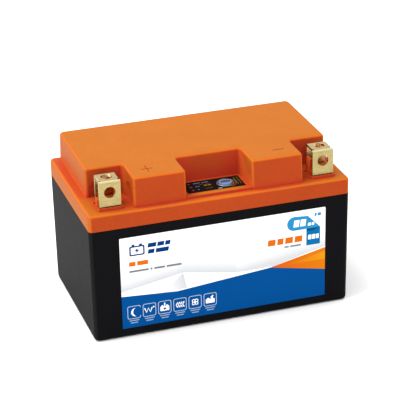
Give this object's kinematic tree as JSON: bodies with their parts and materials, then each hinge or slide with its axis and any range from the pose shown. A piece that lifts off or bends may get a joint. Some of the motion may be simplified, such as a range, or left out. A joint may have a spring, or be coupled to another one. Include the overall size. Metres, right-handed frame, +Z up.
{
  "type": "motorcycle battery",
  "caption": "Lithium motorcycle starter battery: black case, orange stepped lid, two folded brass terminals, push-button charge tester in a front recess, cells and board inside.",
  "frame": {"origin": "centre of the bottom face, on the surface that the battery stands on", "axes": "+X along the length, from the positive terminal to the negative one; +Y from the labelled front to the back; +Z up"},
  "size_m": [0.15, 0.087, 0.093],
  "materials": {
    "case_plastic": "matte",
    "lid_plastic": "satin",
    "seal_sealant": "matte",
    "label_print": "satin",
    "terminal_brass": "satin",
    "overlay_film": "satin",
    "bezel_metal": "polished",
    "button_cap": "gloss",
    "switch_plastic": "matte",
    "board_laminate": "satin",
    "chip_resin": "matte",
    "capacitor_can": "satin",
    "lamp_resin": "gloss",
    "guide_resin": "gloss",
    "fastener_steel": "satin",
    "nickel_strip": "satin",
    "lug_copper": "satin",
    "lead_red": "satin",
    "lead_black": "satin",
    "lead_white": "satin",
    "cell_sleeve": "satin",
    "holder_plastic": "matte",
    "foam": "matte"
  },
  "bodies": {
    "battery": {"case": "case_plastic", "lid": "lid_plastic", "lid_seal": "seal_sealant", "front_label": "label_print", "positive_terminal": "terminal_brass", "negative_terminal": "terminal_brass", "tester_overlay": "overlay_film", "button_bezel": "bezel_metal", "test_switch": "switch_plastic", "tester_board": "board_laminate", "protection_board": "board_laminate", "control_chip": "chip_resin", "power_transistor_1": "chip_resin", "power_transistor_2": "chip_resin", "power_transistor_3": "chip_resin", "power_transistor_4": "chip_resin", "filter_capacitor": "capacitor_can", "lamp_1": "lamp_resin", "lamp_2": "lamp_resin", "lamp_3": "lamp_resin", "light_guide": "guide_resin", "board_screw_1": "fastener_steel", "board_screw_2": "fastener_steel", "board_screw_3": "fastener_steel", "board_screw_4": "fastener_steel", "tester_screw_1": "fastener_steel", "tester_screw_2": "fastener_steel", "positive_rivet": "fastener_steel", "negative_rivet": "fastener_steel", "positive_strip": "nickel_strip", "upper_link_strip": "nickel_strip", "negative_strip": "nickel_strip", "lower_link_strip_1": "nickel_strip", "lower_link_strip_2": "nickel_strip", "current_shunt": "nickel_strip", "positive_lug": "lug_copper", "negative_lug": "lug_copper", "positive_lead": "lead_red", "negative_lead": "lead_black", "sense_lead_1": "lead_white", "sense_lead_2": "lead_white", "tester_lead": "lead_white", "cell_1": "cell_sleeve", "cell_2": "cell_sleeve", "cell_3": "cell_sleeve", "cell_4": "cell_sleeve", "cell_5": "cell_sleeve", "cell_6": "cell_sleeve", "cell_7": "cell_sleeve", "cell_8": "cell_sleeve", "lower_cell_holder": "holder_plastic", "upper_cell_holder": "holder_plastic", "foam_base": "foam", "foam_left": "foam", "foam_right": "foam", "foam_front": "foam", "foam_back": "foam"},
    "button": {"test_button": "button_cap", "switch_plunger": "switch_plastic"}
  },
  "joints": [
    {"name": "test_button_press", "type": "slide", "parent": "battery", "child": "button", "axis": [0, 0, -1], "range_m": [0, 0.0005], "stiffness_N_per_m": 3000}
  ]
}
